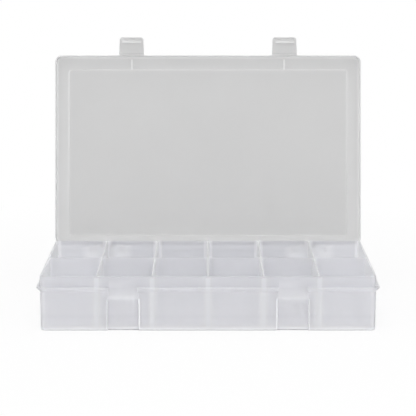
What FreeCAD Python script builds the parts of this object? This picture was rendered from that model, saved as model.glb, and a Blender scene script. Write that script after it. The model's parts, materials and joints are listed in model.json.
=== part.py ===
import FreeCAD, Part
import math
import os

# A lidded box of moulded polypropylene with two rows of fixed compartments.
# X runs along the front, Y runs from the front to the rear, Z is up.
# The origin is the middle of the underside. Lengths are in millimetres, angles in degrees.

# Tray
flange_width = 274.1    # across the flange, left to right
flange_depth = 171.0    # across the flange, front to rear
tray_height = 44.0      # underside to the top of the rim
wall = 1.5              # outer walls
floor = 1.6             # thickness of the bottom
rim_corner = 4.8        # plan radius of the outer wall
draft = 0.25            # lean of the wall below the flange
foot_round = 1.4        # round along the edge of the underside
floor_round = 1.2       # round between the floor and the walls
rim_round = 0.4         # round on the top edges of the rim
flange_reach = 2.75     # flange beyond the wall
flange_edge = 1.0       # thickness of the flange at its edge
flange_drop = 8.8       # rim down to the top of the flange

# Dividers
column_count = 6        # compartments along the front
divider = 1.3           # thickness of every divider
divider_drop = 0.3      # rim down to the top of the dividers
divider_round = 0.4     # round on the top edges of the dividers

# Lid
skirt = 1.0             # wall round the lid
plate = 1.3             # thickness of the lid's top
lid_play = 0.4          # skirt to rim
seat_gap = 0.2          # skirt to flange, lid shut
rim_gap = 0.2           # plate to rim, lid shut
lid_round = 1.0         # round along the lid's top edge
panel_rise = 0.7        # raised middle of the lid
panel_round = 0.4       # round along the panel's edge
panel_corner = 4.0      # plan radius of the panel
side_margin = 10.5      # lid's edge to the panel, at the sides
front_margin = 11.0     # lid's edge to the panel, at the front
rear_margin = 6.8       # lid's edge to the panel, at the rear
locating_rib = 1.6      # thickness of the rib behind each latch
locating_drop = 2.5     # how far that rib hangs inside the tray's front wall
open_angle = 99.0       # shut to the open stop

# Hinges
hinge_inset = 46.5      # lid's side to the middle of a hinge
pin_radius = 1.0
pin_play = 0.05         # pin to its holes, on the radius
pin_chamfer = 0.2       # on the ends of the pins
barrel_radius = 2.3     # knuckles round the pin
barrel_play = 0.4       # knuckles to the flange
tray_knuckle = 8.0      # length of each knuckle on the tray
lid_knuckle = 14.0      # length of the knuckle on the lid
knuckle_gap = 0.3       # between knuckles, along the pin
bracket_drop = 6.5      # tray bracket, pin down to its foot on the wall
lug_rise = 3.0          # lid bracket, barrel up to its top on the skirt
heel_reach = 4.6        # pin to the end of the lid's stop heel
heel = 1.8              # thickness of the stop heel
stop_height = 3.0       # block that the heel comes to rest on
stop_play = 0.2         # heel to that block, lid open

# Latches
latch_column = 2        # each latch is at this column, counted from its own side
latch_shift = 1.1       # outwards from the middle of that column
tab_root = 22.0         # width of the tab at the lid
tab_tip = 20.8          # width of the tab at its end
tab_reach = 15.8        # lid to the end of the tab
tab_thickness = 1.3
tab_corner = 2.2        # round corners at the tab's end
film_radius = 0.45      # moulded hinge line between the lid and the tab
film_play = 0.05        # hinge line to the tab
hook_reach = 10.1       # hinge line to the hook's catching face
hook_height = 3.4       # hook beyond the tab's inner face
hook_land = 0.6         # flat at the hook's end
hook_foot = 2.8         # hook along the tab
hook_width = 16.8
hook_play = 0.2         # hook to the catch bar above it
lip_rise = 0.6          # finger lip at the tab's end
lip_length = 1.2

# Latch pockets in the front wall
pocket_width = 24.5
pocket_depth = 2.4      # behind the foot of the front wall
catch_bar = 2.4         # solid bar over the pocket, for the hook
notch_play = 0.3        # each side of the tab, in the flange
cheek = 0.8             # webs beside the notch

overrun = 5.0           # how far cutting tools reach past what they cut
hairline = 0.001        # two heights closer than this are one

# Worked out from the sizes above
rim_width = flange_width - 2 * flange_reach
rim_depth = flange_depth - 2 * flange_reach
flange_corner = rim_corner + flange_reach
flange_top = tray_height - flange_drop
flange_under = flange_top - flange_edge
flange_low = flange_under - flange_reach
divider_top = tray_height - divider_drop
column_pitch = (rim_width - 2 * wall + divider) / column_count
latch_place = (column_count / 2 - latch_column + 1 / 2) * column_pitch + latch_shift
latch_places = {"left": -latch_place, "right": latch_place}

lid_inside = lid_play + skirt
lid_width = rim_width + 2 * lid_inside
lid_depth = rim_depth + 2 * lid_inside
lid_corner = rim_corner + lid_inside
skirt_foot = flange_top + seat_gap
lid_under = tray_height + rim_gap
lid_top = lid_under + plate
panel_top = lid_top + panel_rise
panel_left = lid_width / 2 - side_margin
panel_front = front_margin - lid_depth / 2
panel_rear = lid_depth / 2 - rear_margin

hinge_y = flange_depth / 2 + barrel_play + barrel_radius
hinge_z = flange_top
hinge_half = lid_knuckle / 2 + knuckle_gap + tray_knuckle
hinge_place = lid_width / 2 - hinge_inset
hinge_places = {"left": -hinge_place, "right": hinge_place}

film_y = -lid_depth / 2 - film_radius
film_z = skirt_foot + film_radius
pocket_top = film_z - hook_reach + hook_play
pocket_back = draft + pocket_depth - rim_depth / 2
notch_half = tab_root / 2 + notch_play


def outline(x0, x1, y0, y1, radius, z):
    """A flat rectangle with round corners, as a closed wire."""
    half = radius * (1 - math.sqrt(2) / 2)
    corners = [
        ((x1 - radius, y0), (x1 - half, y0 + half), (x1, y0 + radius)),
        ((x1, y1 - radius), (x1 - half, y1 - half), (x1 - radius, y1)),
        ((x0 + radius, y1), (x0 + half, y1 - half), (x0, y1 - radius)),
        ((x0, y0 + radius), (x0 + half, y0 + half), (x0 + radius, y0)),
    ]
    edges = []
    for place, corner in enumerate(corners):
        start, middle, end = (FreeCAD.Vector(x, y, z) for x, y in corner)
        next_start = FreeCAD.Vector(*corners[(place + 1) % len(corners)][0], z)
        edges.append(Part.Arc(start, middle, end).toShape())
        edges.append(Part.LineSegment(end, next_start).toShape())
    return Part.Wire(edges)


def centred(width, depth, radius, z):
    """The same outline about the middle of the box."""
    return outline(-width / 2, width / 2, -depth / 2, depth / 2, radius, z)


def raised(wire, height):
    """An upright solid on a flat outline."""
    return Part.Face(wire).extrude(FreeCAD.Vector(0, 0, height))


def block(x0, x1, y0, y1, z0, z1):
    """A plain block between two corners."""
    return Part.makeBox(x1 - x0, y1 - y0, z1 - z0, FreeCAD.Vector(x0, y0, z0))


def profile(points, x0, x1):
    """A section of (y, z) points, drawn out along X."""
    corners = [FreeCAD.Vector(x0, y, z) for y, z in points]
    face = Part.Face(Part.makePolygon(corners + corners[:1]))
    return face.extrude(FreeCAD.Vector(x1 - x0, 0, 0))


def rod(x0, x1, y, z, radius):
    """A round bar along X."""
    return Part.makeCylinder(radius, x1 - x0, FreeCAD.Vector(x0, y, z), FreeCAD.Vector(1, 0, 0))


def level_edges(shape, z):
    """The edges of a shape that lie flat at one height."""
    return [e for e in shape.Edges if abs(e.BoundBox.ZMin - z) + abs(e.BoundBox.ZMax - z) < hairline]


def tray_outside():
    """The tray as if it were solid, without its flange."""
    bottom = centred(rim_width - 2 * draft, rim_depth - 2 * draft, rim_corner - draft, 0)
    leaning = Part.makeLoft([bottom, centred(rim_width, rim_depth, rim_corner, flange_low)], True, True)
    leaning = leaning.makeFillet(foot_round, level_edges(leaning, 0))
    upright = raised(centred(rim_width, rim_depth, rim_corner, flange_low), tray_height - flange_low)
    return leaning.fuse(upright)


def tray_inside():
    """The space inside the tray's walls, up past the rim."""
    inset = draft + wall
    bottom = centred(rim_width - 2 * inset, rim_depth - 2 * inset, rim_corner - inset, floor)
    middle = centred(rim_width - 2 * wall, rim_depth - 2 * wall, rim_corner - wall, flange_low)
    leaning = Part.makeLoft([bottom, middle], True, True)
    leaning = leaning.makeFillet(floor_round, level_edges(leaning, floor))
    return leaning.fuse(raised(middle, tray_height + overrun - flange_low)).removeSplitter()


def flange():
    """The flange as a filled slab with a sloping underside."""
    low = centred(rim_width, rim_depth, rim_corner, flange_low)
    under = centred(flange_width, flange_depth, flange_corner, flange_under)
    return Part.makeLoft([low, under], True, True).fuse(raised(under, flange_edge))


def pocket_housing(x):
    """The bump inside the front wall that gives a latch pocket its back, sides and catch bar."""
    half = pocket_width / 2 + wall
    return block(x - half, x + half, -rim_depth / 2, pocket_back + wall, 0, pocket_top + catch_bar)


def pocket_space(x):
    """The open space of a latch pocket."""
    half = pocket_width / 2
    return block(x - half, x + half, -rim_depth / 2 - overrun, pocket_back, -overrun, pocket_top)


def flange_notch(x):
    """The gap in the flange that a latch tab hangs through."""
    front = -flange_depth / 2 - overrun
    return block(x - notch_half, x + notch_half, front, -rim_depth / 2, flange_low, flange_top + overrun)


def notch_cheeks(x):
    """The two webs beside a notch, from the flange down to the catch bar."""
    inside = wall / 2 - rim_depth / 2
    foot = pocket_top + catch_bar
    section = [
        (inside, flange_top),
        (-flange_depth / 2, flange_top),
        (-flange_depth / 2, flange_under),
        (-rim_depth / 2, foot),
        (inside, foot),
    ]
    left = profile(section, x - notch_half - cheek, x - notch_half)
    return left.fuse(profile(section, x + notch_half, x + notch_half + cheek))


def tray_hinge(x):
    """The two knuckles and the lid stop of one hinge, on the tray's rear wall."""
    inside = rim_depth / 2 - wall / 2
    section = [
        (inside, hinge_z),
        (hinge_y, hinge_z),
        (hinge_y, hinge_z - barrel_radius),
        (inside, hinge_z - bracket_drop),
    ]
    turn = math.radians(open_angle)
    stop_y = hinge_y + heel_reach * math.cos(turn) - heel / 2 * math.sin(turn) - stop_play
    stop_top = hinge_z - barrel_radius - barrel_play
    half = lid_knuckle / 2
    solid = block(x - half, x + half, inside, stop_y, stop_top - stop_height, stop_top)
    for start in (x - hinge_half, x + hinge_half - tray_knuckle):
        end = start + tray_knuckle
        knuckle = profile(section, start, end).fuse(rod(start, end, hinge_y, hinge_z, barrel_radius))
        solid = solid.fuse(knuckle)
    return solid


def pin_hole(x):
    """The hole through one hinge."""
    return rod(x - hinge_half - overrun, x + hinge_half + overrun, hinge_y, hinge_z, pin_radius + pin_play)


def base_tray():
    """Floor, walls, flange, latch pockets and rear hinge brackets."""
    solid = tray_outside().fuse(flange())
    for x in hinge_places.values():
        solid = solid.fuse(tray_hinge(x))
    solid = solid.cut(tray_inside())
    for x in latch_places.values():
        solid = solid.fuse(pocket_housing(x).common(tray_outside()))
        solid = solid.cut(flange_notch(x)).fuse(notch_cheeks(x)).cut(pocket_space(x))
    for x in hinge_places.values():
        solid = solid.cut(pin_hole(x))
    solid = solid.removeSplitter()
    return solid.makeFillet(min(rim_round, wall / 3), level_edges(solid, tray_height))


def divider_plate(x0, x1, y0, y1):
    """One divider, trimmed to the inside of the tray, with its top edges rounded."""
    plain = block(x0, x1, y0, y1, 0, divider_top).common(tray_inside())
    long_edges = [e for e in level_edges(plain, divider_top) if e.Length > 2 * divider]
    return plain.makeFillet(min(divider_round, divider / 3), long_edges)


def dividers():
    """The row divider and the column dividers, by node name."""
    half = divider / 2
    plates = {"row_divider": divider_plate(-rim_width / 2, rim_width / 2, -half, half)}
    for number in range(1, column_count):
        x = (number - column_count / 2) * column_pitch
        plates[f"front_divider_{number}"] = divider_plate(x - half, x + half, -rim_depth / 2, -half)
        plates[f"rear_divider_{number}"] = divider_plate(x - half, x + half, half, rim_depth / 2)
    return plates


def hinge_pin(x):
    """One hinge pin with chamfered ends."""
    pin = rod(x - hinge_half, x + hinge_half, hinge_y, hinge_z, pin_radius)
    ends = [e for e in pin.Edges if e.BoundBox.XLength < hairline]
    return pin.makeChamfer(pin_chamfer, ends)


def lid_hinge(x):
    """The knuckle, its bracket and its stop heel, on the lid's rear skirt."""
    inside = lid_depth / 2 - skirt / 2
    section = [
        (inside, skirt_foot),
        (hinge_y, skirt_foot),
        (hinge_y, hinge_z + barrel_radius),
        (inside, hinge_z + barrel_radius + lug_rise),
    ]
    start, end = x - lid_knuckle / 2, x + lid_knuckle / 2
    bracket = profile(section, start, end).fuse(rod(start, end, hinge_y, hinge_z, barrel_radius))
    stop_heel = block(start, end, hinge_y, hinge_y + heel_reach, hinge_z - heel / 2, hinge_z + heel / 2)
    return bracket.fuse(stop_heel)


def locating_web(x):
    """The rib under the lid that stands just inside the tray's front wall."""
    half = locating_rib / 2
    front = wall + lid_play - rim_depth / 2
    rear = panel_front + plate
    return block(x - half, x + half, front, rear, lid_under - locating_drop, lid_top)


def lid_cover():
    """Plate with a raised panel, skirt, locating ribs and hinge knuckles, drawn shut."""
    solid = raised(centred(lid_width, lid_depth, lid_corner, skirt_foot), lid_top - skirt_foot)
    solid = solid.makeFillet(lid_round, level_edges(solid, lid_top))
    panel = raised(outline(-panel_left, panel_left, panel_front, panel_rear, panel_corner, lid_under),
                   panel_top - lid_under)
    panel = panel.makeFillet(panel_round, level_edges(panel, panel_top))
    solid = solid.fuse(panel)
    for x in hinge_places.values():
        solid = solid.fuse(lid_hinge(x))
    inner = centred(lid_width - 2 * skirt, lid_depth - 2 * skirt, lid_corner - skirt, skirt_foot - overrun)
    hollow = outline(plate - panel_left, panel_left - plate, panel_front + plate, panel_rear - plate,
                     panel_corner - plate, skirt_foot - overrun)
    solid = solid.cut(raised(inner, lid_under - skirt_foot + overrun))
    solid = solid.cut(raised(hollow, panel_top - plate - skirt_foot + overrun))
    for x in latch_places.values():
        solid = solid.fuse(locating_web(x))
    for x in hinge_places.values():
        solid = solid.cut(pin_hole(x))
    return solid.removeSplitter()


def latch_film(x):
    """The thin hinge line between the lid and one tab, as a rounded bead."""
    start, end = x - tab_root / 2, x + tab_root / 2
    bead = rod(start, end, film_y, film_z, film_radius)
    return bead.fuse(block(start, end, film_y, -lid_depth / 2, film_z - film_radius, film_z + film_radius))


def latch_tab(x):
    """One tab, drawn flat beyond the shut lid's front edge, with its hook underneath."""
    root = film_y - film_radius - film_play
    tip = -lid_depth / 2 - tab_reach
    corners = [
        FreeCAD.Vector(x - tab_root / 2, root, skirt_foot),
        FreeCAD.Vector(x - tab_tip / 2, tip, skirt_foot),
        FreeCAD.Vector(x + tab_tip / 2, tip, skirt_foot),
        FreeCAD.Vector(x + tab_root / 2, root, skirt_foot),
    ]
    flat = raised(Part.makePolygon(corners + corners[:1]), tab_thickness)
    ends = [e for e in flat.Edges if e.BoundBox.YLength < hairline and e.BoundBox.XLength < hairline]
    flat = flat.makeFillet(tab_corner, [e for e in ends if abs(e.BoundBox.YMin - tip) < hairline])
    catch = film_y - hook_reach
    hook = [
        (catch, skirt_foot + tab_thickness / 2),
        (catch, skirt_foot - hook_height),
        (catch - hook_land, skirt_foot - hook_height),
        (catch - hook_foot, skirt_foot),
        (catch - hook_foot, skirt_foot + tab_thickness / 2),
    ]
    solid = flat.fuse(profile(hook, x - hook_width / 2, x + hook_width / 2))
    lip_half = tab_tip / 2 - tab_corner
    lip_top = skirt_foot + tab_thickness + lip_rise
    lip = block(x - lip_half, x + lip_half, tip, tip + lip_length, skirt_foot, lip_top)
    return solid.fuse(lip).removeSplitter()


def opened(shape):
    """A piece of the lid, swung from shut to the open stop."""
    turned = shape.copy()
    turned.rotate(FreeCAD.Vector(0, hinge_y, hinge_z), FreeCAD.Vector(1, 0, 0), -open_angle)
    return turned


def all_pieces():
    """Every piece by node name, with the lid standing open."""
    pieces = {"base_tray": base_tray(), **dividers(), "lid_cover": opened(lid_cover())}
    for side, x in hinge_places.items():
        pieces[f"hinge_pin_{side}"] = hinge_pin(x)
    for side, x in latch_places.items():
        pieces[f"latch_tab_{side}"] = opened(latch_tab(x))
        pieces[f"latch_film_{side}"] = opened(latch_film(x))
    return pieces


os.makedirs("parts", exist_ok=True)
for name, shape in all_pieces().items():
    if not shape.isValid() or len(shape.Solids) != 1:
        raise ValueError(f"{name} is not one sound solid")
    shape.Solids[0].exportStep(f"parts/{name}.step")
    print(name, round(shape.Volume, 1))
film_line = opened(Part.Vertex(latch_place, film_y, film_z)).Point
print("lid hinge through", hinge_y, hinge_z)
print("tab hinges through", film_line.y, film_line.z)
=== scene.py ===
import json
import math

import bmesh
import bpy
from mathutils import Matrix, Vector
from mathutils.bvhtree import BVHTree
from mathutils.interpolate import poly_3d_calc


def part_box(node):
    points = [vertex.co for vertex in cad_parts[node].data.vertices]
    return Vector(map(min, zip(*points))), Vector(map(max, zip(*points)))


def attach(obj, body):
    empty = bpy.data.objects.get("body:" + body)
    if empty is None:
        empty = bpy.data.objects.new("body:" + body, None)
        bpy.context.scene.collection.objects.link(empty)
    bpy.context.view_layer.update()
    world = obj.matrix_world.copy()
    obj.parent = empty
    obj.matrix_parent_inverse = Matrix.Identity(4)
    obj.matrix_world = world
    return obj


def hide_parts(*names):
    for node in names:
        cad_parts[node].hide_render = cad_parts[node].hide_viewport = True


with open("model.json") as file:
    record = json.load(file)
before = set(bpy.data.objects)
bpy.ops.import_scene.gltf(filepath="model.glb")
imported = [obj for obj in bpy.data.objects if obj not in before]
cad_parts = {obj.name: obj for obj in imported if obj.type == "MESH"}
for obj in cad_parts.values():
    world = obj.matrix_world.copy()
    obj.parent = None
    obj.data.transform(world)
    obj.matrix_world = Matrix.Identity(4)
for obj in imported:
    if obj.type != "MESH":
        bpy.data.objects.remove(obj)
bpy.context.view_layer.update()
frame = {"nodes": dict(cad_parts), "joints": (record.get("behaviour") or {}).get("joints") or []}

scene = bpy.context.scene
mm = 0.001
weld = 0.002            # millimetres: points nearer than this are one
touch = 0.05            # millimetres: a point this near to a surface lies on it
arcSteps = 6            # segments in a quarter round
straight = 89.9         # degrees: half the angle at a corner that hardly turns
nodeNames = sorted(frame["nodes"])


def boxMm(node):
    low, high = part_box(node)
    return low / mm, high / mm


def middleX(node):
    low, high = boxMm(node)
    return (low.x + high.x) / 2


def linear(hexColour):
    # sRGB hex to the linear values that shaders take
    values = [int(hexColour[i:i + 2], 16) / 255 for i in (0, 2, 4)]
    values = [v / 12.92 if v <= 0.04045 else ((v + 0.055) / 1.055) ** 2.4 for v in values]
    return (*values, 1.0)


def addNode(tree, kind, settings=None, inputs=None):
    # inputs are plain values or the sockets that feed them
    node = tree.nodes.new(kind)
    for key, value in (settings or {}).items():
        setattr(node, key, value)
    for key, value in (inputs or {}).items():
        if isinstance(value, bpy.types.NodeSocket):
            tree.links.new(value, node.inputs[key])
        else:
            node.inputs[key].default_value = value
    return node


# Mesh helpers: a corner is (x, y, radius, whiteness). The whiteness is 1 on thick edges, which look whiter,
# and 0 on plain walls;
# it also carries painted light: raised values are painted highlights and painted light over shade, and
# values below 0 are painted shade, which greys a wall

def rounded(corners, z, level=None):
    # one closed ring of (x, y, z, milk) with its corners rounded, counterclockwise
    # level is the whiteness and painted light all round, in place of the corners' own
    points = []
    for k, (x, y, radius, milkAndPaintedLight) in enumerate(corners):
        milkAndPaintedLight = milkAndPaintedLight if level is None else level
        here = Vector((x, y))
        toLast = Vector(corners[k - 1][:2]) - here
        toNext = Vector(corners[(k + 1) % len(corners)][:2]) - here
        half = toLast.angle(toNext) / 2 if radius and toLast.length and toNext.length else math.pi / 2
        if not radius or half > math.radians(straight):
            points.append((x, y, z, milkAndPaintedLight))
            continue
        centre = here + (toLast.normalized() + toNext.normalized()).normalized() * radius / math.sin(half)
        first = here + toLast.normalized() * radius / math.tan(half) - centre
        turn = math.pi - 2 * half
        for step in range(arcSteps + 1):
            spoke = centre + Matrix.Rotation(turn * step / arcSteps, 2) @ first
            points.append((spoke.x, spoke.y, z, milkAndPaintedLight))
    return points


def even(ring):
    # no whiteness and no painted light, for the ring round a wide flat face
    return [(x, y, z, 0.0) for x, y, z, milkAndPaintedLight in ring]


def quarterTurns():
    return [math.pi / 2 * k / arcSteps for k in range(arcSteps + 1)]


def skin(bm, rings, closeStart=True, closeEnd=True):
    # quads between rings of equal length, and a face across either end
    layer = bm.verts.layers.float.get("milkAndPaintedLight") or bm.verts.layers.float.new("milkAndPaintedLight")
    made = []
    for ring in rings:
        verts = []
        for x, y, z, milkAndPaintedLight in ring:
            vert = bm.verts.new((x, y, z))
            vert[layer] = milkAndPaintedLight
            verts.append(vert)
        made.append(verts)
    for lower, upper in zip(made, made[1:]):
        for k in range(len(lower)):
            n = (k + 1) % len(lower)
            bm.faces.new((lower[k], lower[n], upper[n], upper[k]))
    if closeStart:
        bm.faces.new(made[0][::-1])
    if closeEnd:
        bm.faces.new(made[-1])
    return made


def drawnIn(section, away):
    # a (y, z) section made smaller all round
    points = [Vector(p) for p in section]
    following = points[1:] + points[:1]
    area = sum(a.cross(b) for a, b in zip(points, following))
    inward = math.copysign(1.0, area)
    sides = [(b - a).normalized().orthogonal() * inward for a, b in zip(points, following)]
    return [p + away * (n + m) / (1 + n.dot(m)) for p, n, m in zip(points, sides[-1:] + sides[:-1], sides)]


def prism(bm, section, x0, x1, milkAndPaintedLight=0.0, edge=0.0):
    # a (y, z) section drawn out along X, with its end edges rounded
    turns = [math.radians(t) for t in ((0, 45, 90) if edge else (90,))]
    ends = [(edge * (1 - math.cos(t)), edge * (1 - math.sin(t))) for t in turns]
    stations = [(x0 + along, away) for along, away in ends]
    stations += [(x1 - along, away) for along, away in reversed(ends)]
    skin(bm, [[(x, y, z, milkAndPaintedLight) for y, z in drawnIn(section, away)] for x, away in stations])


def arc(y, z, radius, start, end, steps):
    # (y, z) points round a centre, angles in degrees
    turns = [math.radians(start + (end - start) * k / steps) for k in range(steps + 1)]
    return [(y + radius * math.cos(t), z + radius * math.sin(t)) for t in turns]


def meshObject(name, bm):
    # millimetres to metres, in the shared frame
    bmesh.ops.remove_doubles(bm, verts=bm.verts, dist=weld)
    bmesh.ops.recalc_face_normals(bm, faces=bm.faces)
    bm.transform(Matrix.Scale(mm, 4))
    mesh = bpy.data.meshes.new(name)
    bm.to_mesh(mesh)
    bm.free()
    piece = bpy.data.objects.new(name, mesh)
    scene.collection.objects.link(piece)
    return piece


def settle(piece):
    # the modifiers' result becomes the piece's plain mesh
    shown = piece.evaluated_get(bpy.context.evaluated_depsgraph_get())
    made = bpy.data.meshes.new_from_object(shown)
    piece.modifiers.clear()
    piece.data = made


def milkAndPaintedLightSource(piece):
    points = [vert.co.copy() for vert in piece.data.vertices]
    faces = [tuple(face.vertices) for face in piece.data.polygons]
    milkAndPaintedLight = [value.value for value in piece.data.attributes["milkAndPaintedLight"].data]
    return BVHTree.FromPolygons(points, faces), points, faces, milkAndPaintedLight


def milkAndPaintedLightAt(sources, place):
    # from the surface the place lies on, the first one where it lies on both
    nearest, found = math.inf, 0.0
    for tree, points, faces, milkAndPaintedLight in sources:
        spot, _, index, away = tree.find_nearest(place)
        if away < nearest - touch * mm:
            weights = poly_3d_calc([points[k] for k in faces[index]], spot)
            nearest, found = away, sum(w * milkAndPaintedLight[k] for w, k in zip(weights, faces[index]))
    return found


def combine(piece, other, operation):
    # joins or cuts, and carries both pieces' whiteness and painted light over to the new points
    sources = [milkAndPaintedLightSource(piece), milkAndPaintedLightSource(other)]
    step = piece.modifiers.new(operation.lower(), "BOOLEAN")
    step.operation = operation
    step.solver = "EXACT"
    step.object = other
    settle(piece)
    for vert, value in zip(piece.data.vertices, piece.data.attributes["milkAndPaintedLight"].data):
        value.value = milkAndPaintedLightAt(sources, vert.co)
    bpy.data.objects.remove(other)


def smooth(piece, angle=35):
    # rounds shade smoothly and flats stay flat
    piece.data.polygons.foreach_set("use_smooth", [True] * len(piece.data.polygons))
    piece.data.set_sharp_from_angle(angle=math.radians(angle))
    weighting = piece.modifiers.new("weighting", "WEIGHTED_NORMAL")
    weighting.keep_sharp = True
    settle(piece)


def dress(piece, plastic, body, slot, *nodes):
    # finishes a piece and puts it on its body, in place of the solids that it stands for
    piece.data.materials.clear()
    piece.data.materials.append(plastic)
    smooth(piece)
    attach(piece, body)
    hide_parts(*nodes)


# Natural polypropylene, injection moulded: milky and half clear, satin, whiter where the section is thick,
# with painted light and painted shade mixed into its colour

def polypropylene(name, look):
    material = bpy.data.materials.new(name)
    material.use_nodes = True
    tree = material.node_tree
    shader = tree.nodes["Principled BSDF"]
    place = addNode(tree, "ShaderNodeTexCoord").outputs["Object"]
    cloud = addNode(tree, "ShaderNodeTexNoise", {}, {
        "Vector": place, "Scale": 1 / (look["cloudMm"] * mm),
        "Detail": look["cloudDetail"], "Roughness": look["cloudMix"]})
    haze = addNode(tree, "ShaderNodeMix", {"data_type": "RGBA"}, {
        "Factor": cloud.outputs["Fac"], "A": linear(look["clear"]), "B": linear(look["hazy"])})
    # the attribute: whiteness where a section is thick, plus painted highlights and painted light over
    # shade above 0, and painted shade below 0
    thick = addNode(tree, "ShaderNodeAttribute", {"attribute_name": "milkAndPaintedLight"}).outputs["Fac"]
    # painted shade: below 0 the colour greys towards the painted shade grey
    paintedShadeShare = addNode(tree, "ShaderNodeMath", {"operation": "MULTIPLY", "use_clamp": True}, {
        0: thick, 1: -1.0})
    paintedShade = addNode(tree, "ShaderNodeMix", {"data_type": "RGBA"}, {
        "Factor": paintedShadeShare.outputs[0], "A": haze.outputs["Result"], "B": linear(look["paintedShade"])})
    colour = addNode(tree, "ShaderNodeMix", {"data_type": "RGBA"}, {
        "Factor": thick, "A": paintedShade.outputs["Result"], "B": linear(look["thick"])})
    # whiter places, painted highlights and painted light over shade let less light through
    through = addNode(tree, "ShaderNodeMapRange", {}, {
        "Value": thick, "To Min": look["throughThin"], "To Max": look["throughThick"]})
    smear = addNode(tree, "ShaderNodeTexNoise", {}, {
        "Vector": place, "Scale": 1 / (look["smearMm"] * mm), "Detail": look["smearDetail"]})
    satin = addNode(tree, "ShaderNodeMapRange", {}, {
        "Value": smear.outputs["Fac"], "To Min": look["smooth"], "To Max": look["rough"]})
    grain = addNode(tree, "ShaderNodeTexNoise", {}, {
        "Vector": place, "Scale": 1 / (look["grainMm"] * mm), "Detail": look["grainDetail"]})
    bump = addNode(tree, "ShaderNodeBump", {}, {
        "Height": grain.outputs["Fac"], "Strength": look["bump"], "Distance": look["grainDeepMm"] * mm})
    links = {"Base Color": colour.outputs["Result"], "Roughness": satin.outputs["Result"],
             "Transmission Weight": through.outputs["Result"], "Normal": bump.outputs["Normal"]}
    for socket, source in links.items():
        tree.links.new(source, shader.inputs[socket])
    shader.inputs["IOR"].default_value = look["ior"]
    shader.inputs["Subsurface Weight"].default_value = 1.0
    shader.inputs["Subsurface Radius"].default_value = (1.0, 1.0, 1.0)
    shader.inputs["Subsurface Scale"].default_value = look["scatterMm"] * mm
    return material


trayLook = {
    # thick is the whiter colour of thick sections, also used for painted highlights; the fourth colour is a
    # painted shade grey
    "clear": "F1F1F4", "hazy": "F4F4F7", "thick": "F9FAFF", "paintedShade": "CACBD0",
    "throughThin": 0.65, "throughThick": 0.05,
    "ior": 1.1,                             # below the plastic's own, as thin walls hardly bend light
    "cloudMm": 40.0, "cloudDetail": 3.0, "cloudMix": 0.55,
    "smearMm": 9.0, "smearDetail": 2.0, "smooth": 0.3, "rough": 0.38,
    "grainMm": 1.2, "grainDetail": 1.0,     # drawn coarser than the real grain, to show
    "grainDeepMm": 0.02, "bump": 0.05,
    "scatterMm": 4.0,
}
# the lid and its tabs take a copy of the same plastic painted greyer all over: painted shade, for less
# light coming through from behind
lidShadedLook = dict(trayLook, clear="D3D3D3", hazy="D7D7D7", thick="F6F6F6")
filmLook = dict(lidShadedLook, clear="F2F2F2", hazy="F8F8F8", throughThin=0.2)    # whitened by folding
trayPlastic = polypropylene("natural polypropylene, moulded tray", trayLook)
lidShadedPlastic = polypropylene("natural polypropylene, moulded lid, painted greyer as shade", lidShadedLook)
filmPlastic = polypropylene("natural polypropylene, folded hinge film", filmLook)
print("materials made")


# Tray: one moulding with twelve wells

tray = {    # millimetres
    "wall": 1.5, "floor": 1.6, "rimCorner": 4.8, "draft": 0.25,
    "footRound": 1.4, "floorRound": 1.2, "rimRound": 0.4, "underInset": 2.5,
    "flangeReach": 2.75, "flangeEdge": 1.0, "flangeDrop": 8.8, "flangeRound": 0.25,
    "wellCorner": 2.0, "wellRound": 0.4, "leastCorner": 0.3,
    "pocketHalf": 12.25, "pocketDepth": 2.4, "pocketDrop": 9.25, "catchBar": 2.4, "jamb": 0.4,
    "notchHalf": 11.3, "cheek": 0.8, "crease": 0.05,
    "band": 1.5,                            # how far the whiter look of an edge, or painted light, reaches
    "streak": 0.3,                          # a divider shows through the wall this much wider than it is
    "land": 0.8, "landFade": 0.3,           # whiter line down each side of a pocket: its side wall seen edge-on, with a painted highlight, stronger on the side nearer the middle
    "footLine": 0.7, "farEdge": 11.4,       # painted highlight along the foot, and a painted shade line across the front wall above it
    # painted light outside: a painted highlight along the foot and on the ledge top; painted shade under
    # the foot, in the front wall's grey line, on the flange face, the strip and the rim
    "paintedFootLight": 1.0, "paintedUnderShade": -1.0, "paintedFarEdgeShade": -0.1,
    "paintedFlangeShade": -0.1, "paintedLedgeHighlight": 0.2, "paintedStripShade": -0.27, "paintedRimShade": -0.4,
    "jambMilkAndHighlight": 1.0, "outerJambMilkAndHighlight": 0.6, "milkCheek": 0.3,
    "paintedCeilingLight": 0.9, "milkBar": 0.65, "milkBarTop": 0.25,
    # painted light in the wells: a painted highlight on the crowns, painted light over shade in the
    # corners, on the side walls and on the row divider's lower face; painted shade greys the rear wall
    "crownMilkAndHighlight": 0.62, "milkDivider": 0.5, "cornerMilkAndPaintedLight": 0.6, "sidePaintedLight": 0.8,
    "rowPaintedLight": 0.4, "rearPaintedShade": -0.45, "rearLowPaintedShade": -0.55,
}
trayLow, trayHigh = boxMm("base_tray")
rimX = trayHigh.x - tray["flangeReach"]
rimY = -trayLow.y - tray["flangeReach"]
rimZ = trayHigh.z
flangeTop = rimZ - tray["flangeDrop"]
flangeUnder = flangeTop - tray["flangeEdge"]
flangeLow = flangeUnder - tray["flangeReach"]
pocketBack = tray["draft"] + tray["pocketDepth"] - rimY
pocketTop = flangeTop - tray["pocketDrop"]
catchTop = pocketTop + tray["catchBar"]
latchPlaces = [middleX("latch_tab_left"), middleX("latch_tab_right")]
dividerPlaces = [middleX(n) for n in nodeNames if n.startswith("front_divider")]
dividerHalf = (boxMm("row_divider")[1].y - boxMm("row_divider")[0].y) / 2

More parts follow.
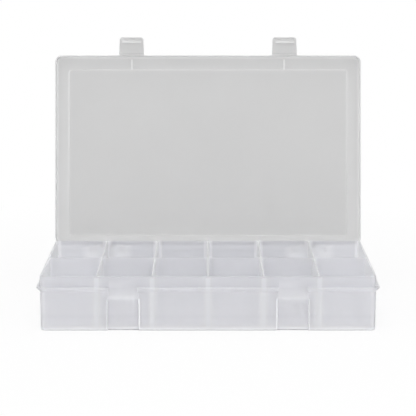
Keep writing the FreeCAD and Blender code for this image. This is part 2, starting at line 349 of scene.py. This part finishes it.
hinge = {   # millimetres
    "barrel": 2.3, "play": 0.4, "trayKnuckle": 8.0, "lidKnuckle": 14.0, "gap": 0.3, "bracketDrop": 6.5,
    "pinPlay": 0.05, "holeSides": 24, "lugRise": 3.0, "heelReach": 4.6, "heel": 1.8,
    "stopHeight": 3.0, "stopPlay": 0.2, "soft": 0.3,
    "fade": 4.0, "fadeAlong": 8.0,          # how softly the painted light over the hinge fades out on the tray's rear wall
    "milkAndPaintedLight": 0.2, "paintedLightMiddle": 1.0, "paintedLightEnd": 0.1,
}
lidJoint = [j for j in frame["joints"] if j["name"] == "lid_hinge"][0]
hingeY, hingeZ = (v / mm for v in lidJoint["pos_m"][1:])
openTurn = math.radians(max(lidJoint["range_deg"]))
hingePlaces = [middleX("hinge_pin_left"), middleX("hinge_pin_right")]
hingeHalf = hinge["lidKnuckle"] / 2 + hinge["gap"] + hinge["trayKnuckle"]
pinLow, pinHigh = boxMm("hinge_pin_left")
pinRadius = (pinHigh.z - pinLow.z) / 2
hingeLow, hingeHigh = hingeZ - hinge["bracketDrop"], hingeZ + hinge["barrel"]


def leanAt(z):
    # the wall leans in below the flange
    return tray["draft"] * max(0.0, 1 - z / flangeLow)


def frontMarks():
    # (x, role, whiteness and painted highlight of a pocket's side) along the front wall, left to right
    half, jamb = tray["pocketHalf"], tray["jamb"]
    notch, cheek, crease = tray["notchHalf"], tray["cheek"], tray["crease"]
    land = half + jamb + tray["land"]
    side = [
        (land + tray["landFade"], "plain"), (land, "jamb"), (half + jamb, "jamb"), (half, "jambBack"),
        (notch + cheek + crease, "bay"), (notch + cheek, "cheek"),
        (notch, "cheek"), (notch - crease, "notch"),
    ]
    marks = []
    for x in latchPlaces:
        for way in (-1, 1):
            # the pocket's side nearer the middle gets the stronger painted highlight
            milkAndPaintedLight = tray["jambMilkAndHighlight"] if way * x < 0 else tray["outerJambMilkAndHighlight"]
            marks += [(x + way * away, role, milkAndPaintedLight) for away, role in side]
    for x in dividerPlaces:
        marks += [(x + away, role, 0.0) for away, role in dividerMarks()]
    return sorted(marks)


def dividerMarks():
    near, far = dividerHalf + tray["streak"], dividerHalf + tray["band"]
    return [(-far, "plain"), (-near, "divider"), (near, "divider"), (far, "plain")]


def outerRing(z, out, level=None, pocket=False, cheekOut=None, bar=None, wall=0.0):
    # the outside of the tray at one height; out is how far it stands beyond the rim's wall
    # level is the whiteness and painted light all round, or else wall is the front wall's painted light or
    # shade and bar the pocket's whiteness or painted light
    x, y = rimX + out, rimY + out
    radius = tray["rimCorner"] + out
    corners = []
    for markX, role, jambMilk in frontMarks():
        atY, milkAndPaintedLight = -y, wall
        inPocket = role in ("jambBack", "bay", "cheek", "notch")
        if pocket and inPocket:
            atY = max(pocketBack, -y)
        elif role == "cheek" and cheekOut is not None:
            atY, milkAndPaintedLight = -rimY - cheekOut, tray["milkCheek"]
        elif role == "notch":
            atY = max(-rimY, -y)
        if role == "divider":
            milkAndPaintedLight = tray["milkDivider"]
        if pocket and role in ("jamb", "jambBack"):
            milkAndPaintedLight = jambMilk
        elif inPocket and bar is not None:
            milkAndPaintedLight = bar
        corners.append((markX, atY, 0.0, milkAndPaintedLight))
    cross = [(d, tray["milkDivider"] if role == "divider" else 0.0) for d, role in dividerMarks()]
    corners.append((x, -y, radius, wall))
    corners += [(x, d, 0.0, milkAndPaintedLight) for d, milkAndPaintedLight in cross]
    corners.append((x, y, radius, 0.0))
    for place in reversed(dividerPlaces):
        # painted shade greys the rear wall's outside between the dividers
        corners += [(place + d, y, 0.0, milkAndPaintedLight or tray["rearPaintedShade"]) for d, milkAndPaintedLight in reversed(cross)]
    corners.append((-x, y, radius, 0.0))
    corners += [(-x, d, 0.0, milkAndPaintedLight) for d, milkAndPaintedLight in reversed(cross)]
    corners.append((-x, -y, radius, wall))
    return rounded(corners, z, level)


def trayOutside(bm):
    # from the underside up to the rim
    foot, reach, band = tray["footRound"], tray["flangeReach"], tray["band"]
    soft, line, far = tray["flangeRound"], foot + tray["footLine"], tray["farEdge"]
    paintedFootLight, paintedFlangeShade, paintedStripShade = tray["paintedFootLight"], tray["paintedFlangeShade"], tray["paintedStripShade"]
    footOut = -leanAt(foot) - foot
    rings = [even(outerRing(0, footOut - tray["underInset"], pocket=True))]
    # painted shade on the lower half of the foot's round, a painted highlight on its upper half and along
    # the foot line
    for turn in quarterTurns():
        level = paintedFootLight if turn > math.pi / 4 else tray["paintedUnderShade"]
        rings.append(outerRing(foot - foot * math.cos(turn), footOut + foot * math.sin(turn), level, True))
    rings.append(outerRing(line, -leanAt(line), paintedFootLight, True))
    # a painted shade line across the front wall at farEdge height
    heights = [(line + band / 2, 0.0), (far - 2 * band, 0.0),
               (far, tray["paintedFarEdgeShade"]), (far + 2 * band, 0.0)]
    rings += [outerRing(z, -leanAt(z), pocket=True, wall=milkAndPaintedLight) for z, milkAndPaintedLight in heights]
    # painted light in the pocket's top, over the shade under the catch bar
    ceiling = [(3 * band, 0.0), (band, tray["paintedCeilingLight"] / 2), (tray["crease"], tray["paintedCeilingLight"])]
    for below, milkAndPaintedLight in ceiling:
        z = pocketTop - below
        rings.append(outerRing(z, -leanAt(z), pocket=True, bar=milkAndPaintedLight))
    rings.append(outerRing(pocketTop, -leanAt(pocketTop), bar=tray["milkBar"]))
    rings.append(outerRing(catchTop, -leanAt(catchTop), cheekOut=-leanAt(catchTop), bar=tray["milkBarTop"]))
    cheekLow = reach * (flangeLow - catchTop) / (flangeUnder - catchTop)
    rings.append(outerRing(flangeLow, 0.0, cheekOut=cheekLow))
    # painted shade on the flange's front face, a painted highlight on its ledge top, painted shade on the
    # front strip above it and on the rim all round
    rings.append(outerRing(flangeUnder, reach, cheekOut=reach, wall=paintedFlangeShade))
    rings.append(outerRing(flangeTop - soft, reach, cheekOut=reach, wall=paintedFlangeShade))
    rings.append(outerRing(flangeTop, reach - soft, cheekOut=reach - soft, wall=tray["paintedLedgeHighlight"]))
    rings.append(outerRing(flangeTop, reach / 2, cheekOut=reach / 2, wall=tray["paintedLedgeHighlight"]))
    rings.append(outerRing(flangeTop, 0.0, wall=paintedStripShade))
    rings.append(outerRing(rimZ - tray["rimRound"] - band, 0.0, wall=paintedStripShade))
    for turn in quarterTurns():
        drop, inward = tray["rimRound"] * (1 - math.sin(turn)), tray["rimRound"] * (1 - math.cos(turn))
        rings.append(outerRing(rimZ - drop, -inward, tray["paintedRimShade"]))
    return skin(bm, rings, closeEnd=False)[-1]


def wells():
    # every well's sides, which of them are outer walls, and where latches and hinges stand at them
    innerX, innerY = rimX - tray["wall"], rimY - tray["wall"]
    edges = [-innerX] + [x + side * dividerHalf for x in dividerPlaces for side in (-1, 1)] + [innerX]
    steps = (hinge["lidKnuckle"] / 2 + hinge["gap"], hingeHalf, hingeHalf + hinge["fadeAlong"])
    marks = [x + side * away for x in hingePlaces for side in (-1, 1) for away in steps]
    room = tray["wellCorner"] + tray["band"] + tray["crease"]
    for column in range(0, len(edges), 2):
        x0, x1 = edges[column], edges[column + 1]
        for y0, y1 in ((-innerY, -dividerHalf), (dividerHalf, innerY)):
            front, rear = y0 < -dividerHalf, y1 > dividerHalf
            latch = [x for x in latchPlaces if front and x0 < x < x1]
            behind = [x for x in marks if rear and x0 + room < x < x1 - room]
            yield {"x": (x0, x1), "y": (y0, y1), "latch": latch, "hinge": sorted(behind, reverse=True),
                   "outer": (column == 0, column == len(edges) - 2, front, rear)}


def rearWallPaintedLight(well, x, z):
    # painted shade greys the tray's rear wall, a little more below the flange, and painted light whitens it
    # where a hinge stands behind, most in the middle, over the hinge's shade; a row divider's front face
    # gets painted light below the flange
    if not well["outer"][3]:
        return tray["rowPaintedLight"] if z <= flangeLow else 0.0
    away = min(abs(x - place) for place in hingePlaces)
    if well["hinge"] and away < hingeHalf + tray["crease"] and hingeLow <= z <= hingeHigh:
        atMiddle = away < (hinge["lidKnuckle"] + hinge["trayKnuckle"]) / 2
        return hinge["paintedLightMiddle"] if atMiddle else hinge["paintedLightEnd"]
    return tray["rearPaintedShade"] if z > flangeLow else tray["rearLowPaintedShade"]


def wellRing(well, z, grow, level=None, bump=False, side=tray["sidePaintedLight"]):
    # a well's walls at one height; grow widens it, and bump adds the back of a latch pocket
    # level is the whiteness and painted light all round, or else side is the painted light on the walls to
    # the left and right
    lean = leanAt(z)
    left, right, front, rear = (lean if outer else 0.0 for outer in well["outer"])
    x0, x1 = well["x"][0] + left - grow, well["x"][1] - right + grow
    y0, y1 = well["y"][0] + front - grow, well["y"][1] - rear + grow
    radius = max(tray["leastCorner"], tray["wellCorner"] + grow)
    near = radius + tray["band"]
    corners = [(x0 + near, y0, 0.0, 0.0)]
    for x in well["latch"]:
        half, gap = tray["pocketHalf"] + tray["wall"] - grow, tray["crease"]
        back = pocketBack + tray["wall"] - grow if bump else y0
        start = max(x - half - tray["jamb"], x0 + near + gap)    # stays clear of the well's corner
        end = min(x + half + tray["jamb"], x1 - near - gap)
        corners += [(start, y0, 0.0, 0.0), (max(x - half, start + gap), back, 0.0, 0.0),
                    (min(x + half, end - gap), back, 0.0, 0.0), (end, y0, 0.0, 0.0)]
    # painted light in the well's corners, over the shade that gathers there, and on the side walls, which
    # the lamps light less
    milkAndPaintedLight = min(tray["cornerMilkAndPaintedLight"], side)
    corners += [(x1 - near, y0, 0.0, 0.0), (x1, y0, radius, milkAndPaintedLight), (x1, y0 + near, 0.0, side),
                (x1, y1 - near, 0.0, side), (x1, y1, radius, max(milkAndPaintedLight, rearWallPaintedLight(well, x1, z)))]
    corners += [(x, y1, 0.0, rearWallPaintedLight(well, x, z)) for x in [x1 - near] + well["hinge"] + [x0 + near]]
    corners += [(x0, y1, radius, max(milkAndPaintedLight, rearWallPaintedLight(well, x0, z))), (x0, y1 - near, 0.0, side),
                (x0, y0 + near, 0.0, side), (x0, y0, radius, milkAndPaintedLight)]
    return rounded(corners, z, level)


def wellSkin(bm, well):
    # from the rim down to the floor
    top, base, floor, band = tray["wellRound"], tray["floorRound"], tray["floor"], tray["band"]
    crown = [(top * (1 - math.cos(t)), top * (1 - math.sin(t))) for t in quarterTurns()]
    # the crowns' whiter edges, on the left and right walls, carry a painted highlight
    rings = [wellRing(well, rimZ - down, out, side=tray["crownMilkAndHighlight"]) for down, out in crown]
    rings.append(wellRing(well, rimZ - top - band, 0.0))
    heights = [flangeLow]
    if well["hinge"]:
        heights = [hingeHigh + hinge["fade"], hingeHigh, hingeLow, hingeLow - hinge["fade"]]
    rings += [wellRing(well, z, 0.0) for z in heights]
    if well["latch"]:
        rings.append(wellRing(well, catchTop + tray["jamb"], 0.0))
        rings.append(wellRing(well, catchTop, 0.0, bump=True))
    rings.append(wellRing(well, floor + base + band, 0.0, bump=True))
    cove = [(base * (1 - math.sin(t)), base * (1 - math.cos(t))) for t in quarterTurns()]
    # painted light in the floor's cove, over the shade in that crease
    rings += [wellRing(well, floor + up, -inward, tray["cornerMilkAndPaintedLight"], True) for up, inward in cove]
    rings.append(even(wellRing(well, floor, -base - band, bump=True)))
    return skin(bm, rings, closeStart=False)[0]


def ringEdges(bm, verts):
    return [bm.edges.get((a, b)) for a, b in zip(verts, verts[1:] + verts[:1])]


def trayBody():
    bm = bmesh.new()
    rims = [trayOutside(bm)] + [wellSkin(bm, well) for well in wells()]
    edges = [edge for verts in rims for edge in ringEdges(bm, verts)]
    bmesh.ops.triangle_fill(bm, edges=edges, use_beauty=True)
    return meshObject("tray_moulding", bm)


# Hinges: two knuckles and a stop on the tray, one knuckle and a heel on the lid

def pinHoles():
    bm = bmesh.new()
    sides = hinge["holeSides"]
    for x in hingePlaces:
        hole = arc(hingeY, hingeZ, pinRadius + hinge["pinPlay"], 0, 360 - 360 / sides, sides - 1)
        prism(bm, hole, x - 2 * hingeHalf, x + 2 * hingeHalf)
    return meshObject("pin_holes", bm)


def trayHinges():
    bm = bmesh.new()
    inside = rimY - tray["wall"] / 2
    section = [(inside, hingeZ - hinge["bracketDrop"])] + arc(hingeY, hingeZ, hinge["barrel"], -90, 180, 18)
    section.append((inside, hingeZ))
    stopY = hingeY + hinge["heelReach"] * math.cos(openTurn) - hinge["heel"] / 2 * math.sin(openTurn)
    stopY -= hinge["stopPlay"]
    stopTop = hingeZ - hinge["barrel"] - hinge["play"]
    stop = [(inside, stopTop - hinge["stopHeight"]), (stopY, stopTop - hinge["stopHeight"]),
            (stopY, stopTop), (inside, stopTop)]
    for x in hingePlaces:
        for start in (x - hingeHalf, x + hingeHalf - hinge["trayKnuckle"]):
            prism(bm, section, start, start + hinge["trayKnuckle"], hinge["milkAndPaintedLight"], hinge["soft"])
        prism(bm, stop, x - hinge["lidKnuckle"] / 2, x + hinge["lidKnuckle"] / 2, hinge["milkAndPaintedLight"])
    return meshObject("tray_hinges", bm)


# Ejector marks: the round prints of the pins that push the moulding out, two on each well's floor

mark = {    # millimetres
    "radius": 3.5, "proud": 0.25, "sunk": 0.5, "draft": 0.25, "sides": 48, "rows": 4, "milkAndPaintedLight": 0.0,
}


def ejectorTree():
    tree = bpy.data.node_groups.new("ejector marks", "GeometryNodeTree")
    tree.interface.new_socket("Geometry", in_out="OUTPUT", socket_type="NodeSocketGeometry")
    kinds = {"Columns": "NodeSocketInt", "Rows": "NodeSocketInt", "Material": "NodeSocketMaterial"}
    lengths = ("Width", "Depth", "Floor", "Radius", "Draft", "Proud", "Sunk", "MilkAndPaintedLight")
    for name in (*kinds, *lengths):
        tree.interface.new_socket(name, in_out="INPUT", socket_type=kinds.get(name, "NodeSocketFloat"))
    given = addNode(tree, "NodeGroupInput").outputs
    grid = addNode(tree, "GeometryNodeMeshGrid", {}, {
        "Size X": given["Width"], "Vertices X": given["Columns"],
        "Size Y": given["Depth"], "Vertices Y": given["Rows"]})
    points = addNode(tree, "GeometryNodeMeshToPoints", {}, {"Mesh": grid.outputs["Mesh"]})
    tip = addNode(tree, "ShaderNodeMath", {"operation": "SUBTRACT"}, {
        0: given["Radius"], 1: given["Draft"]})
    tall = addNode(tree, "ShaderNodeMath", {"operation": "ADD"}, {0: given["Proud"], 1: given["Sunk"]})
    disc = addNode(tree, "GeometryNodeMeshCone", {}, {
        "Vertices": mark["sides"], "Radius Top": tip.outputs[0], "Radius Bottom": given["Radius"],
        "Depth": tall.outputs[0]})
    marks = addNode(tree, "GeometryNodeInstanceOnPoints", {}, {
        "Points": points.outputs["Points"], "Instance": disc.outputs["Mesh"]})
    foot = addNode(tree, "ShaderNodeMath", {"operation": "SUBTRACT"}, {0: given["Floor"], 1: given["Sunk"]})
    lift = addNode(tree, "ShaderNodeCombineXYZ", {}, {"Z": foot.outputs[0]})
    placed = addNode(tree, "GeometryNodeTransform", {}, {
        "Geometry": marks.outputs["Instances"], "Translation": lift.outputs["Vector"]})
    real = addNode(tree, "GeometryNodeRealizeInstances", {}, {"Geometry": placed.outputs["Geometry"]})
    milky = addNode(tree, "GeometryNodeStoreNamedAttribute", {"data_type": "FLOAT", "domain": "POINT"}, {
        "Geometry": real.outputs["Geometry"], "Name": "milkAndPaintedLight", "Value": given["MilkAndPaintedLight"]})
    finished = addNode(tree, "GeometryNodeSetMaterial", {}, {
        "Geometry": milky.outputs["Geometry"], "Material": given["Material"]})
    addNode(tree, "NodeGroupOutput", {}, {"Geometry": finished.outputs["Geometry"]})
    return tree


def ejectorMarks():
    piece = bpy.data.objects.new("ejector_marks", bpy.data.meshes.new("ejector_marks"))
    scene.collection.objects.link(piece)
    step = piece.modifiers.new("ejector marks", "NODES")
    step.node_group = ejectorTree()
    columns = len(dividerPlaces) + 1
    pitchX = dividerPlaces[1] - dividerPlaces[0]
    pitchY = 2 * (rimY - tray["wall"]) / mark["rows"]
    values = {
        "Columns": columns, "Rows": mark["rows"], "MilkAndPaintedLight": mark["milkAndPaintedLight"], "Material": trayPlastic,
        "Width": pitchX * (columns - 1) * mm, "Depth": pitchY * (mark["rows"] - 1) * mm,
        "Floor": tray["floor"] * mm, "Radius": mark["radius"] * mm, "Draft": mark["draft"] * mm,
        "Proud": mark["proud"] * mm, "Sunk": mark["sunk"] * mm,
    }
    for socket in step.node_group.interface.items_tree:
        if socket.in_out == "INPUT":
            step[socket.identifier] = values[socket.name]
    settle(piece)
    return piece


trayPiece = trayBody()
combine(trayPiece, ejectorMarks(), "UNION")
combine(trayPiece, trayHinges(), "UNION")
combine(trayPiece, pinHoles(), "DIFFERENCE")
trayNodes = [n for n in nodeNames if "divider" in n or n == "base_tray"]
dress(trayPiece, trayPlastic, "tray", "tray_polypropylene", *trayNodes)
print("tray made:", len(trayPiece.data.polygons), "faces")


# Lid: drawn shut, then swung open about the hinge

lid = {     # millimetres
    "skirt": 1.0, "plate": 1.3, "play": 0.4, "seatGap": 0.2, "rimGap": 0.2,
    "round": 1.0, "insideRound": 0.8, "footRound": 0.2,
    "panelRise": 0.7, "panelRound": 0.4, "panelCorner": 4.0, "leastCorner": 0.5,
    "sideMargin": 10.5, "frontMargin": 11.0, "rearMargin": 6.8,
    "stepSlope": 0.3, "stepLine": 0.5, "ribHalf": 0.8, "ribDrop": 2.5, "ribRoot": 0.4,
    "band": 1.5,                            # how far the whiter look of an edge, or painted light, reaches
    # the skirt's and the step's whiter edges are the plastic's own; the step's slope, its front side and
    # the front and rear margins carry painted light
    "milkSkirt": 0.68, "milkStep": 0.2, "slopeMilkAndPaintedLight": 0.3, "stepFrontPaintedLight": 0.45,
    "marginPaintedLight": 0.1, "paintedFootLight": 0.25, "milkRib": 1.0,
}
lidX = rimX + lid["play"] + lid["skirt"]
lidY = rimY + lid["play"] + lid["skirt"]
lidCorner = tray["rimCorner"] + lid["play"] + lid["skirt"]
skirtFoot = flangeTop + lid["seatGap"]
lidUnder = rimZ + lid["rimGap"]
lidTop = lidUnder + lid["plate"]
panelTop = lidTop + lid["panelRise"]
axle = Vector((0, hingeY, hingeZ)) * mm
swungOpen = Matrix.Translation(axle) @ Matrix.Rotation(-openTurn, 4, "X") @ Matrix.Translation(-axle)


def squareRing(x, y0, y1, radius, z, milkAndPaintedLight, front, rear):
    # front and rear are those edges' own whiteness or painted light, where it isn't the same all round
    front, rear = (milkAndPaintedLight if own is None else own for own in (front, rear))
    return rounded([(x, y0, radius, front), (x, y1, radius, rear),
                    (-x, y1, radius, rear), (-x, y0, radius, front)], z)


def lidRing(z, inset, milkAndPaintedLight, front=None, rear=None):
    y = lidY - inset
    return squareRing(lidX - inset, -y, y, lidCorner - inset, z, milkAndPaintedLight, front, rear)


def panelRing(z, inset, milkAndPaintedLight, front=None, rear=None):
    x, radius = lidX - lid["sideMargin"] - inset, max(lid["leastCorner"], lid["panelCorner"] - inset)
    y0, y1 = lid["frontMargin"] - lidY + inset, lidY - lid["rearMargin"] - inset
    return squareRing(x, y0, y1, radius, z, milkAndPaintedLight, front, rear)


def quarter(ring, z, inset, radius, milkAndPaintedLight, upper):
    # rings round one edge: upper goes from a flat top out and down, otherwise from a wall up and in
    turns = quarterTurns()
    rings = []
    for turn in reversed(turns) if upper else turns:
        drop, inward = radius * (1 - math.sin(turn)), radius * (1 - math.cos(turn))
        rings.append(ring(z - drop, inset + inward, milkAndPaintedLight))
    return rings


def lidBody():
    # from the panel's top out over the edge, and back in underneath
    bm = bmesh.new()
    skirt, plate, band, foot = lid["skirt"], lid["plate"], lid["band"], lid["footRound"]
    step, edge, frontStepLight = lid["milkStep"], lid["milkSkirt"], lid["stepFrontPaintedLight"]
    slope, line, marginLights = lid["stepSlope"], lid["stepLine"], (lid["marginPaintedLight"], lid["paintedFootLight"])
    rings = [panelRing(panelTop, lid["panelRound"] + band, 0.0)]
    rings += quarter(panelRing, panelTop, 0.0, lid["panelRound"], step, True)
    rings.append(panelRing(lidTop, 0.0, step))
    rings.append(panelRing(lidTop, -band, 0.0))
    rings.append(lidRing(lidTop, lid["round"] + band, 0.0))
    rings += quarter(lidRing, lidTop, 0.0, lid["round"], edge, True)
    rings.append(lidRing(skirtFoot + foot, 0.0, edge))
    rings.append(lidRing(skirtFoot, foot, edge))
    rings.append(lidRing(skirtFoot, skirt - foot, edge))
    rings.append(lidRing(skirtFoot + foot, skirt, edge))
    rings += quarter(lidRing, lidUnder, skirt, lid["insideRound"], edge, False)
    # painted light on the front margin, over the shade that the skirt casts, and on the rear margin, over
    # the shade from the tray
    rings.append(lidRing(lidUnder, skirt + lid["insideRound"] + band, 0.0, *marginLights))
    rings.append(panelRing(lidUnder, plate - slope - band, 0.0, *marginLights))
    # painted light on the step's slope, and more on its front side, which faces down into shade
    rings.append(panelRing(lidUnder, plate - slope, lid["slopeMilkAndPaintedLight"], frontStepLight))
    rings.append(panelRing(panelTop - plate, plate + slope, step, frontStepLight))
    rings.append(panelRing(panelTop - plate, plate + slope + line, step))
    rings.append(panelRing(panelTop - plate, plate + slope + line + band, 0.0))
    skin(bm, rings)
    return meshObject("lid_moulding", bm)


def lidExtras():
    # hinge knuckles with their heels, and the short ribs behind the latches
    bm = bmesh.new()
    barrel, half, knuckleHalf = hinge["barrel"], hinge["heel"] / 2, hinge["lidKnuckle"] / 2
    inside = lidY - lid["skirt"] / 2
    meet = math.degrees(math.asin(half / barrel))
    rest = math.degrees(math.asin((skirtFoot - hingeZ) / barrel))
    section = [(inside, skirtFoot)] + arc(hingeY, hingeZ, barrel, 180 - rest, 360 - meet, 14)
    section += [(hingeY + hinge["heelReach"], hingeZ - half), (hingeY + hinge["heelReach"], hingeZ + half)]
    section += arc(hingeY, hingeZ, barrel, meet, 90, 6) + [(inside, hingeZ + barrel + hinge["lugRise"])]
    for x in hingePlaces:
        prism(bm, section, x - knuckleHalf, x + knuckleHalf, hinge["milkAndPaintedLight"], hinge["soft"])
    front = tray["wall"] + lid["play"] - rimY
    rear = lid["frontMargin"] - lidY + lid["plate"]
    low, high = lidUnder - lid["ribDrop"], lidUnder + lid["ribRoot"]
    rib = [(front, high), (front, low), (rear - lid["ribDrop"], low), (rear, lidUnder), (rear, high)]
    for x in latchPlaces:
        prism(bm, rib, x - lid["ribHalf"], x + lid["ribHalf"], lid["milkRib"])
    return meshObject("lid_extras", bm)


lidPiece = lidBody()
combine(lidPiece, lidExtras(), "UNION")
combine(lidPiece, pinHoles(), "DIFFERENCE")
lidPiece.data.transform(swungOpen)
dress(lidPiece, lidShadedPlastic, "lid", "lid_polypropylene", "lid_cover")
print("lid made:", len(lidPiece.data.polygons), "faces")


# Latch tabs, drawn flat beyond the shut lid's edge

tab = {     # millimetres
    "rootHalf": 11.0, "tipHalf": 10.4, "reach": 15.8, "thick": 1.3,
    "corner": 2.2, "rootCorner": 0.3, "edge": 0.25, "film": 0.45, "filmPlay": 0.05,
    "hookReach": 10.1, "hookHeight": 3.4, "hookLand": 0.6, "hookFoot": 2.8, "hookHalf": 8.4,
    "lipRise": 0.6, "lipLength": 1.2, "soft": 0.2, "milkHook": 0.4, "milkLip": 0.3,
}
filmY = -lidY - tab["film"]


def tabRing(x, z, inset):
    root, tip = filmY - tab["film"] - tab["filmPlay"] - inset, -lidY - tab["reach"] + inset
    wide, narrow = tab["rootHalf"] - inset, tab["tipHalf"] - inset
    corner, small = tab["corner"] - inset, tab["rootCorner"]
    return rounded([(x - narrow, tip, corner, 0.0), (x + narrow, tip, corner, 0.0),
                    (x + wide, root, small, 0.0), (x - wide, root, small, 0.0)], z)


def tabExtras(x):
    # the hook underneath and the finger lip at the tab's end
    bm = bmesh.new()
    edge, inTab = tab["edge"], skirtFoot + tab["thick"] / 2
    catch, low = filmY - tab["hookReach"], skirtFoot - tab["hookHeight"]
    foot, land = catch - tab["hookFoot"], catch - tab["hookLand"]
    hook = [(catch, inTab), (foot, inTab), (foot, skirtFoot), (land, low), (catch, low)]
    prism(bm, hook, x - tab["hookHalf"], x + tab["hookHalf"], tab["milkHook"], tab["soft"])
    tip, top = -lidY - tab["reach"] + edge, skirtFoot + tab["thick"] + tab["lipRise"]
    back, half = tip + tab["lipLength"], tab["tipHalf"] - tab["corner"]
    lip = [(back, inTab), (back, top - edge), (back - edge, top),
           (tip + edge, top), (tip, top - edge), (tip, inTab)]
    prism(bm, lip, x - half, x + half, tab["milkLip"], tab["soft"])
    return meshObject("hook_and_lip", bm)


def tabPiece(side, x):
    bm = bmesh.new()
    low, high, edge = skirtFoot, skirtFoot + tab["thick"], tab["edge"]
    levels = [(low, edge), (low + edge, 0.0), (high - edge, 0.0), (high, edge)]
    skin(bm, [tabRing(x, z, inset) for z, inset in levels])
    piece = meshObject(f"latch_{side}", bm)
    combine(piece, tabExtras(x), "UNION")
    piece.data.transform(swungOpen)
    dress(piece, lidShadedPlastic, f"{side}_latch", "lid_polypropylene", f"latch_tab_{side}")


for side, x in zip(("left", "right"), latchPlaces):
    tabPiece(side, x)
print("latch tabs made")


# Pins and moulded hinge lines keep their solids
for name, node in frame["nodes"].items():
    if name.startswith(("hinge_pin", "latch_film")):
        node.data.materials.clear()
        node.data.materials.append(filmPlastic if name.startswith("latch") else trayPlastic)


# Studio: white surround that only the eye sees at full strength, soft lamps

studio = {  # metres and watts, unless the name says otherwise
    "ambient": 0.75, "floorHex": "F3F3F3", "floorSize": 6.0, "floorDropMm": 0.2,
    "floorGlow": 0.85, "glowFrom": 0.25, "glowTo": 0.6,     # plain white away from the shadow
    "lamps": {
        "left softbox": ((-0.9, -1.6, 1.0), (1.4, 1.4), 5.6),
        "right softbox": ((0.9, -1.6, 1.0), (1.4, 1.4), 5.6),
        "top softbox": ((0.0, -0.2, 1.6), (1.2, 1.2), 6.0),
    },
    "aim": (0.0, 0.0, 0.08),
}


def seenDirectly(tree):
    # 1 for what the camera sees, straight, mirrored or through the plastic
    path = addNode(tree, "ShaderNodeLightPath").outputs
    seen = path["Is Camera Ray"]
    for ray in ("Is Glossy Ray", "Is Transmission Ray"):
        seen = addNode(tree, "ShaderNodeMath", {"operation": "MAXIMUM"}, {0: seen, 1: path[ray]}).outputs[0]
    return seen


def surround():
    world = bpy.data.worlds.new("white studio")
    world.use_nodes = True
    scene.world = world
    tree = world.node_tree
    tree.nodes.clear()
    white = linear("FFFFFF")
    dim = addNode(tree, "ShaderNodeBackground", {}, {"Color": white, "Strength": studio["ambient"]})
    full = addNode(tree, "ShaderNodeBackground", {}, {"Color": white, "Strength": 1.0})
    mix = addNode(tree, "ShaderNodeMixShader", {}, {
        0: seenDirectly(tree), 1: dim.outputs[0], 2: full.outputs[0]})
    addNode(tree, "ShaderNodeOutputWorld", {}, {"Surface": mix.outputs[0]})


# Paper, uncoated: plain matt white that takes the soft shadow

def paperFloor():
    material = bpy.data.materials.new("white paper floor")
    material.use_nodes = True
    tree = material.node_tree
    tree.nodes.clear()
    paper = addNode(tree, "ShaderNodeBsdfDiffuse", {}, {"Color": linear(studio["floorHex"])})
    white = addNode(tree, "ShaderNodeEmission", {}, {"Strength": 1.0})
    place = addNode(tree, "ShaderNodeTexCoord").outputs["Object"]
    away = addNode(tree, "ShaderNodeVectorMath", {"operation": "LENGTH"}, {0: place}).outputs["Value"]
    fade = addNode(tree, "ShaderNodeMapRange", {}, {
        "Value": away, "From Min": studio["glowFrom"], "From Max": studio["glowTo"],
        "To Min": studio["floorGlow"]})
    share = addNode(tree, "ShaderNodeMath", {"operation": "MULTIPLY"}, {
        0: seenDirectly(tree), 1: fade.outputs[0]})
    mix = addNode(tree, "ShaderNodeMixShader", {}, {
        0: share.outputs[0], 1: paper.outputs[0], 2: white.outputs[0]})
    addNode(tree, "ShaderNodeOutputMaterial", {}, {"Surface": mix.outputs[0]})
    return material


def studioFloor():
    half, z = studio["floorSize"] / 2, -studio["floorDropMm"] * mm
    corners = [(-half, -half, z), (half, -half, z), (half, half, z), (-half, half, z)]
    mesh = bpy.data.meshes.new("floor")
    mesh.from_pydata(corners, [], [(0, 1, 2, 3)])
    mesh.materials.append(paperFloor())
    floor = bpy.data.objects.new("floor", mesh)
    scene.collection.objects.link(floor)


def studioLamps():
    for name, (place, size, watts) in studio["lamps"].items():
        lamp = bpy.data.lights.new(name, "AREA")
        lamp.shape = "RECTANGLE"
        lamp.size, lamp.size_y = size
        lamp.energy = watts
        holder = bpy.data.objects.new(name, lamp)
        holder.location = place
        holder.rotation_euler = (Vector(studio["aim"]) - Vector(place)).to_track_quat("-Z", "Y").to_euler()
        scene.collection.objects.link(holder)


surround()
studioFloor()
studioLamps()

view = {    # from the photo's own lines
    "backMm": 1531.956, "upMm": 327.706, "downDeg": 8.956, "lensMm": 160.515, "sensorMm": 36.0,
    "nearestMm": 50.0, "furthestMm": 20000.0,
}
camera = bpy.data.cameras.new("camera")
camera.sensor_width = view["sensorMm"]
camera.lens = view["lensMm"]
camera.clip_start, camera.clip_end = view["nearestMm"] * mm, view["furthestMm"] * mm
cameraHolder = bpy.data.objects.new("camera", camera)
cameraHolder.location = (0.0, -view["backMm"] * mm, view["upMm"] * mm)
cameraHolder.rotation_euler = (math.radians(90.0 - view["downDeg"]), 0.0, 0.0)
scene.collection.objects.link(cameraHolder)
scene.camera = cameraHolder
scene.view_settings.view_transform = "Standard"
print("studio set")
